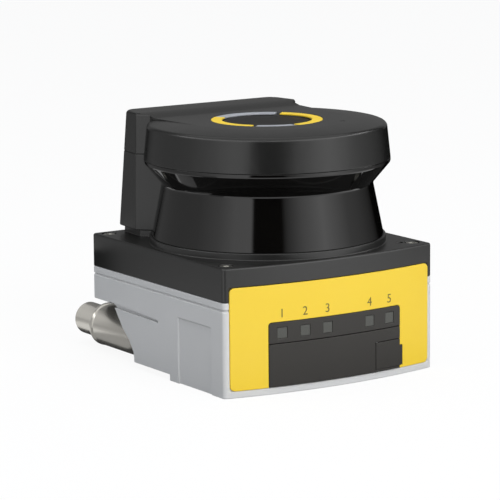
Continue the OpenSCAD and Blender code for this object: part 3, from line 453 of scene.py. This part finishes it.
def grained(name, colour, grain_size, roughness, depth, **settings):
    """A finish with a grain of this size and depth in mm, and the two ends of its
    roughness."""
    material = empty_material(name)
    place = add(material, "TexCoord").outputs["Object"]
    grain = add(material, "TexNoise", {"Vector": place}, scale=1 / (grain_size * MM), detail=3.0)
    level = add(material, "MapRange", {"Value": grain.outputs["Fac"]}, from_min=0.3, from_max=0.7,
                to_min=roughness[0], to_max=roughness[1])
    relief = add(material, "Bump", {"Height": grain.outputs["Fac"]}, strength=0.3,
                 distance=depth * MM)
    surface = add(material, "BsdfPrincipled", {"Roughness": level.outputs["Result"],
                                               "Normal": relief.outputs["Normal"]},
                  base_color=linear(colour), **settings)
    add(material, "OutputMaterial", {"Surface": surface.outputs["BSDF"]})
    return material


# Seal rubber is black and dull, epoxy black and half matt, the gilt contacts bright
rubber = grained("seal_rubber", "#191919", 0.5, (0.62, 0.78), 0.05)
epoxy = grained("epoxy_moulding", "#1d1d1d", 0.25, (0.42, 0.55), 0.03)
gilt = grained("gold_plated_pins", "#e2bd62", 0.3, (0.16, 0.26), 0.01, metallic=1.0)
refinish(nickel, "connector_nut")
refinish(rubber, "connector_seal")
refinish(epoxy, "connector_insert")
refinish(gilt, "connector_pins")


# ---- Circuit boards ----------------------------------------------------
# Glass-fibre laminate under green solder mask. The main board is screwed down on
# brass spacers in the casting, with the connector board beside it, and the
# backplane stands in its socket and runs up the tower.

# Solder mask: green over copper tracks, which show as paler lines 1.3 mm apart
solder_mask = empty_material("solder_mask")
place = add(solder_mask, "TexCoord").outputs["Object"]
tracks = add(solder_mask, "TexBrick", {"Vector": place}, scale=1 / (1.3 * MM), mortar_size=0.12,
             brick_width=4.0, row_height=1.0, color1=linear("#0f4a2a"), color2=linear("#0d4427"),
             mortar=linear("#1c6a3c"))
track_bump = add(solder_mask, "Bump", {"Height": tracks.outputs["Fac"]}, strength=0.4,
                 distance=0.03 * MM)
mask = add(solder_mask, "BsdfPrincipled", {"Base Color": tracks.outputs["Color"],
                                           "Normal": track_bump.outputs["Normal"]},
           roughness=0.3)
add(solder_mask, "OutputMaterial", {"Surface": mask.outputs["BSDF"]})
refinish(solder_mask, "main_board", "connector_board", "backplane_board")

# Zinc plating: grey and metallic, its gloss clouded in patches of about 2 mm
zinc = empty_material("zinc_plated_steel")
place = add(zinc, "TexCoord").outputs["Object"]
bloom = add(zinc, "TexNoise", {"Vector": place}, scale=1 / (2 * MM), detail=3.0)
bloom_level = add(zinc, "MapRange", {"Value": bloom.outputs["Fac"]}, to_min=0.28, to_max=0.45)
plating = add(zinc, "BsdfPrincipled", {"Roughness": bloom_level.outputs["Result"]},
              base_color=linear("#b4b3ac"), metallic=1.0)
add(zinc, "OutputMaterial", {"Surface": plating.outputs["BSDF"]})
refinish(zinc, "board_screws")

# Turned brass is warm and bright, moulded nylon pale or blue with a soft sheen
brass = grained("turned_brass", "#c9a24a", 0.4, (0.2, 0.32), 0.02, metallic=1.0)
pale_nylon = grained("pale_nylon", "#dcd7c8", 0.6, (0.38, 0.5), 0.02)
refinish(brass, "board_spacers")
refinish(pale_nylon, "board_link", "backplane_socket")
refinish(grained("blue_moulding", "#3a5d8a", 0.4, (0.36, 0.46), 0.02), "memory_module")
refinish(epoxy, "board_components")


# ---- Black housings ----------------------------------------------------
# The upper housing with its deck, the tower behind the head and the cover of
# the head are moulded in black glass-filled nylon. The mould is eroded, so the
# faces have a fine satin grain. Thin grooves are left where the mouldings meet.

moulded_edge = 0.5 * MM
shortest_edge = 0.08 * MM


def moulded_nylon(name, colour, smoothest, roughest):
    """Black nylon with a fine eroded grain; its gloss wanders a little over 25 mm."""
    material = empty_material(name)
    place = add(material, "TexCoord").outputs["Object"]
    # the real grain of about 0.15 mm is drawn at 0.5 mm, as coarse as it needs to show
    grain = add(material, "TexNoise", {"Vector": place}, scale=1 / (0.5 * MM), detail=2.0)
    grain_bump = add(material, "Bump", {"Height": grain.outputs["Fac"]}, strength=0.3,
                     distance=0.05 * MM)
    haze = add(material, "TexNoise", {"Vector": place}, scale=1 / (25 * MM), detail=2.0)
    haze_level = add(material, "MapRange", {"Value": haze.outputs["Fac"]},
                     to_min=smoothest, to_max=roughest)
    skin = add(material, "BsdfPrincipled", {"Normal": grain_bump.outputs["Normal"],
                                            "Roughness": haze_level.outputs["Result"]},
               base_color=linear(colour), ior=1.55)
    add(material, "OutputMaterial", {"Surface": skin.outputs["BSDF"]})
    return material


nylon = moulded_nylon("black_moulded_nylon", "#1d1d1c", 0.3, 0.35)
# The cover's copy is a little glossier, and its colour is painted darker than the housing's as
# painted shade
smooth_shaded_nylon = moulded_nylon("fine_moulded_nylon", "#181817", 0.24, 0.28)


def on_cover_ramp(edge):
    """The creases beside the ramp that leads up from the cover to the tower's top."""
    x, y, z = middle_of(edge)
    return 40 < abs(x) < 53 and y < 50 and 137 < z < 143


for solid_name, piece_name, skin, crisp_edges in (
        ("scanner_housing", "upper_housing", nylon, None),
        ("rear_tower", "tower", nylon, None),
        ("head_cap", "head_cover", smooth_shaded_nylon, on_cover_ramp)):
    seat(rounded_copy(solid_name, piece_name, moulded_edge, shortest_edge, crisp_edges),
         "root", "black_plastic", skin, solid_name)
refinish(rubber, "housing_seal")
refinish(zinc, "tower_screws")


# ---- Motor -------------------------------------------------------------
# The motor hangs on an aluminium bracket under the deck. A steel cup with its
# magnet ring runs round the coils and turns the shaft in two ball bearings. A
# glass disc with a fork sensor tells how far it has turned.

wave_band = 2 * pi / 20    # one band of a wave pattern at a scale of 1

# Windings: lacquered copper wire of 0.4 mm, its turns drawn 0.8 mm apart, as coarse as
# they need to show
copper = empty_material("lacquered_copper_wire")
place = add(copper, "TexCoord").outputs["Object"]
turns = add(copper, "TexWave", {"Vector": place}, wave_type="BANDS", bands_direction="Z",
            scale=wave_band / (0.8 * MM), distortion=0.6)
turn_bump = add(copper, "Bump", {"Height": turns.outputs["Fac"]}, strength=0.8,
                distance=0.15 * MM)
wire = add(copper, "BsdfPrincipled", {"Normal": turn_bump.outputs["Normal"]},
           base_color=linear("#b4622e"), metallic=1.0, roughness=0.3)
add(copper, "OutputMaterial", {"Surface": wire.outputs["BSDF"]})
refinish(copper, "motor_coils")

# Laminations: stamped electrical steel of 0.35 mm, the stack's edges drawn as thin lines
# twice as far apart
stack = empty_material("laminated_steel")
place = add(stack, "TexCoord").outputs["Object"]
sheets = add(stack, "TexWave", {"Vector": place}, wave_type="BANDS", bands_direction="Z",
             scale=wave_band / (0.7 * MM))
sheet_bump = add(stack, "Bump", {"Height": sheets.outputs["Fac"]}, strength=0.5,
                 distance=0.05 * MM)
steel = add(stack, "BsdfPrincipled", {"Normal": sheet_bump.outputs["Normal"]},
            base_color=linear("#8b8d8f"), metallic=1.0, roughness=0.38)
add(stack, "OutputMaterial", {"Surface": steel.outputs["BSDF"]})
refinish(stack, "motor_stator", "rotor_cup")

# Machined aluminium is pale and softly bright, ground steel smoother and brighter, the
# sintered magnet dark and dull, and glass clear
aluminium = grained("machined_aluminium", "#c3c5c6", 0.5, (0.28, 0.4), 0.03, metallic=1.0)
ground_steel = grained("ground_steel", "#bcbdbd", 0.3, (0.14, 0.24), 0.01, metallic=1.0)
glass = grained("optical_glass", "#f2f6f8", 4.0, (0.01, 0.03), 0.01, transmission_weight=1.0,
                ior=1.52)
refinish(aluminium, "motor_bracket")
refinish(zinc, "bracket_screws")
refinish(ground_steel, "rotor_shaft", "shaft_bearings")
refinish(grained("sintered_magnet", "#3b3b3d", 0.2, (0.5, 0.66), 0.05, metallic=1.0),
         "rotor_magnet")
refinish(glass, "encoder_disc")
refinish(epoxy, "encoder_sensor")


# ---- Scan mirror -------------------------------------------------------
# A round glass mirror, silvered and nearly without haze, is glued at 45 degrees on
# a carrier of machined aluminium, which the motor turns inside the window.

refinish(aluminium, "mirror_carrier")
refinish(grained("silvered_mirror", "#e6e9ea", 6.0, (0.01, 0.03), 0.01, metallic=1.0),
         "scan_mirror")


# ---- Window ------------------------------------------------------------
# One polished moulding of tinted polycarbonate that lets only infrared through,
# so it looks black. It is a cone, drawn in to a waist and flared out again to
# the rim under the cover, and it runs round the front to the tower's edges.

window_low, window_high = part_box("optics_window")
rim_radius = -window_low.x
foot_radius = rim_radius - 4 * MM
waist_radius = rim_radius - 10 * MM
waist_height = window_low.z + 30 * MM
flare_height = waist_height + 12 * MM
window_wall = 2.2 * MM
rim_wall = 3 * MM
waist_step = 0.9 * MM    # how far the inner corners lie above and below the outer ones
flare_step = 1.0 * MM
window_turn = radians(270)
end_reach = 0.7 * MM

profile = bmesh.new()
section = [(foot_radius, window_low.z), (waist_radius, waist_height),
           (rim_radius, flare_height), (rim_radius, window_high.z),
           (rim_radius - rim_wall, window_high.z),
           (rim_radius - rim_wall, flare_height - flare_step),
           (waist_radius - window_wall, waist_height + waist_step),
           (foot_radius - window_wall, window_low.z)]
foot, waist, flare, rim, *inside = [profile.verts.new((r, 0, z)) for r, z in section]
profile.faces.new([foot, waist, flare, rim, *inside])
# The mould's corners are rounded by these radii in millimetres
for corner, corner_radius in ((waist, 1.2), (flare, 0.7), (rim, 0.3), (foot, 0.3)):
    bmesh.ops.bevel(profile, geom=[corner], offset=corner_radius * MM, segments=5,
                    profile=0.5, affect="VERTICES", material=-1)
bmesh.ops.rotate(profile, verts=profile.verts,
                 matrix=Matrix.Rotation(window_turn / 2 - pi / 2, 3, "Z"))
bmesh.ops.spin(profile, geom=profile.verts[:] + profile.edges[:] + profile.faces[:],
               cent=(0, 0, 0), axis=(0, 0, -1), angle=window_turn, steps=216)
# Both ends, which lie on the 45 degree lines behind, reach a little way into the tower
for vert in profile.verts:
    if abs(abs(vert.co.x) - vert.co.y) < fine_gap:
        vert.co.y += end_reach * sqrt(0.5)
        vert.co.x -= end_reach * sqrt(0.5) * (1 if vert.co.x > 0 else -1)
bmesh.ops.remove_doubles(profile, verts=profile.verts, dist=fine_gap)
bmesh.ops.recalc_face_normals(profile, faces=profile.faces)
window = finished_piece(profile, "window")

# Polished polycarbonate: nearly black, with clear sharp reflections that waver a little
# over 18 mm
tinted = empty_material("tinted_polycarbonate")
place = add(tinted, "TexCoord").outputs["Object"]
ripple = add(tinted, "TexNoise", {"Vector": place}, scale=1 / (18 * MM), detail=1.0)
ripple_bump = add(tinted, "Bump", {"Height": ripple.outputs["Fac"]}, strength=0.06,
                  distance=0.3 * MM)
polish = add(tinted, "BsdfPrincipled", {"Normal": ripple_bump.outputs["Normal"]},
             base_color=linear("#0b0a09"), roughness=0.06, ior=1.55)
add(tinted, "OutputMaterial", {"Surface": polish.outputs["BSDF"]})
seat(window, "root", "window_tint", tinted, "optics_window")

# Rubber seals lie under both rims. Small lamps and receivers behind deep red filters
# watch the window for dirt.
refinish(rubber, "window_foot_seal", "window_rim_seal")
refinish(grained("red_filter", "#4a1212", 0.8, (0.08, 0.14), 0.01),
         "monitor_emitters", "monitor_receivers")


# ---- Optics in the cover -----------------------------------------------
# A machined aluminium frame is screwed up into the cover. It carries the lens in
# its black barrel, the laser in its brass tube, and the receiver on its board.

# Drawn steel is bright, and its gloss is a little uneven
drawn_steel = grained("drawn_steel_shell", "#a9aaa8", 0.8, (0.22, 0.34), 0.02, metallic=1.0)
refinish(aluminium, "optics_frame")
refinish(zinc, "cap_screws")
refinish(epoxy, "lens_barrel")
refinish(glass, "receiver_lens")
refinish(brass, "laser_module")
refinish(solder_mask, "receiver_board")
refinish(drawn_steel, "receiver_sensor")


# ---- Ring on the cover -------------------------------------------------
# Four moulded arcs of satin ABS are pressed into a groove of the cover, two
# yellow and two grey, round a disc of black ABS.

arc_edge = 0.2 * MM
disc_edge = 0.15 * MM


def satin_abs(name, colour, grain_size, strength, paler=None, **settings):
    """Moulded ABS with a satin face and a fine grain of this size in mm. Where a paler
    colour is given too, it wanders between the two over 30 mm."""
    material = empty_material(name)
    place = add(material, "TexCoord").outputs["Object"]
    fine = add(material, "TexNoise", {"Vector": place}, scale=1 / (grain_size * MM), detail=2.0)
    fine_bump = add(material, "Bump", {"Height": fine.outputs["Fac"]}, strength=strength,
                    distance=0.03 * MM)
    satin = add(material, "BsdfPrincipled", {"Normal": fine_bump.outputs["Normal"]},
                base_color=linear(colour), **settings)
    if paler:
        cloud = add(material, "TexNoise", {"Vector": place}, scale=1 / (30 * MM), detail=2.0)
        tone = add(material, "ValToRGB", {"Fac": cloud.outputs["Fac"]})
        tone.color_ramp.elements[0].color = linear(colour)
        tone.color_ramp.elements[1].color = linear(paler)
        material.node_tree.links.new(tone.outputs["Color"], satin.inputs["Base Color"])
    add(material, "OutputMaterial", {"Surface": satin.outputs["BSDF"]})
    return material


satin_yellow = satin_abs("yellow_satin_plastic", "#fed62c", 0.6, 0.1, paler="#ffdb35",
                         roughness=0.42)
satin_grey = satin_abs("grey_satin_plastic", "#a9acb2", 0.6, 0.1, roughness=0.4)
black_abs = satin_abs("black_satin_abs", "#161514", 0.5, 0.15, roughness=0.5, ior=1.4)

seat(rounded_copy("top_ring_yellow", "ring_yellow", arc_edge), "root", "yellow_plastic",
     satin_yellow, "top_ring_yellow")
seat(rounded_copy("top_ring_grey", "ring_grey", arc_edge), "root", "grey_ring",
     satin_grey, "top_ring_grey")
seat(rounded_copy("top_inlay", "ring_disc", disc_edge), "root", "panel_plastic",
     black_abs, "top_inlay")


# ---- Corner screws -----------------------------------------------------
# Four socket screws of zinc-plated steel in counterbores hold the upper housing
# down on the casting.

screw_edge = 0.3 * MM
seat(rounded_copy("corner_screws", "corner_screws_turned", screw_edge), "root",
     "bright_steel", zinc, "corner_screws")


# ---- Front bezel -------------------------------------------------------
# A moulded yellow frame lies in a shallow recess of the bowed front. Small
# numbers are screen-printed on it over the lamps. Its right end is left plain.

panel_edge = 0.25 * MM
seat(rounded_copy("front_bezel", "yellow_bezel", panel_edge), "root", "yellow_plastic",
     satin_yellow, "front_bezel")

front_radius = 310 * MM
front_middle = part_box("front_bezel")[0].y
lamp_low, lamp_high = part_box("lamp_windows")
lamp_size = lamp_high.z - lamp_low.z
lamp_pitch = (lamp_high.x - lamp_low.x - lamp_size) / 5
lamp_places = [step * lamp_pitch for step in (-2.5, -1.5, -0.5, 1.5, 2.5)]
number_height = 5.0 * MM
number_share = 0.72    # the height of a number as a share of its letter size
number_gap = 2.6 * MM
number_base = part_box("lamp_strip")[1].z + number_gap
ink_thickness = 0.03 * MM

# Printing ink: the yellow darkened, slightly mottled
print_ink = empty_material("screen_printed_ink")
place = add(print_ink, "TexCoord").outputs["Object"]
mottle = add(print_ink, "TexNoise", {"Vector": place}, scale=1 / (0.4 * MM), detail=2.0)
ink_level = add(print_ink, "MapRange", {"Value": mottle.outputs["Fac"]}, to_min=0.5, to_max=0.6)
ink = add(print_ink, "BsdfPrincipled", {"Roughness": ink_level.outputs["Result"]},
          base_color=linear("#6f6224"))
add(print_ink, "OutputMaterial", {"Surface": ink.outputs["BSDF"]})

for number, x in enumerate(lamp_places, 1):
    curve = bpy.data.curves.new("number_%d" % number, "FONT")
    curve.body = str(number)
    curve.size = number_height / number_share
    curve.align_x = "CENTER"
    curve.extrude = ink_thickness
    text = bpy.data.objects.new("number_curve_%d" % number, curve)
    bpy.context.scene.collection.objects.link(text)
    bpy.context.view_layer.update()
    data = bpy.data.meshes.new_from_object(text)
    bpy.data.objects.remove(text)
    turn = asin(x / front_radius)
    y = front_middle + front_radius * (1 - cos(turn))
    data.transform(Matrix.Translation((x, y, number_base)) @ Matrix.Rotation(turn, 4, "Z")
                   @ Matrix.Rotation(pi / 2, 4, "X"))
    printed = bpy.data.objects.new("lamp_number_%d" % number, data)
    bpy.context.scene.collection.objects.link(printed)
    seat(printed, "root", "panel_plastic", print_ink)


# ---- Lamp strip and display cover --------------------------------------
# The strip with five lamp windows sits above the display cover. Both are dark
# ABS mouldings that stand slightly proud of the bezel. Light pipes of milky
# acrylic, moulded with a pebbled face, end just below the face of the strip.

cover_edge = 0.3 * MM
lens_edge = 0.2 * MM
dark_abs = satin_abs("dark_satin_abs", "#383633", 0.5, 0.15, roughness=0.5, ior=1.4)
seat(rounded_copy("lamp_strip", "lamp_strip_moulding", panel_edge), "root", "panel_plastic",
     dark_abs, "lamp_strip")
seat(rounded_copy("display_cover", "display_cover_moulding", cover_edge), "root",
     "panel_plastic", dark_abs, "display_cover")

# Milky acrylic: grey while the lamps are off, with pebbles of 1.1 mm
milky = empty_material("milky_grey_acrylic")
place = add(milky, "TexCoord").outputs["Object"]
cell = add(milky, "TexVoronoi", {"Vector": place}, scale=1 / (1.1 * MM))
cell_bump = add(milky, "Bump", {"Height": cell.outputs["Distance"]}, strength=0.4,
                distance=0.15 * MM)
acrylic = add(milky, "BsdfPrincipled", {"Normal": cell_bump.outputs["Normal"]},
              base_color=linear("#4d4e49"), roughness=0.3, ior=1.49)
add(milky, "OutputMaterial", {"Surface": acrylic.outputs["BSDF"]})
seat(rounded_copy("lamp_windows", "lamp_lenses", lens_edge), "root", "lamp_plastic", milky,
     "lamp_windows")

# Behind them the display and five white lamps sit on a board of their own
refinish(epoxy, "display_module")
refinish(solder_mask, "display_board")
refinish(pale_nylon, "indicator_leds")


# ---- Port flap ---------------------------------------------------------
# A small flap of the same dark ABS swings on a steel pin and closes the
# service port. Its grip stands out to the right, past the edge of the panel.

seat(rounded_copy("port_cap", "port_flap", panel_edge), "flap", "panel_plastic", dark_abs,
     "port_cap")
refinish(ground_steel, "port_cap_pin")
refinish(drawn_steel, "port_socket")
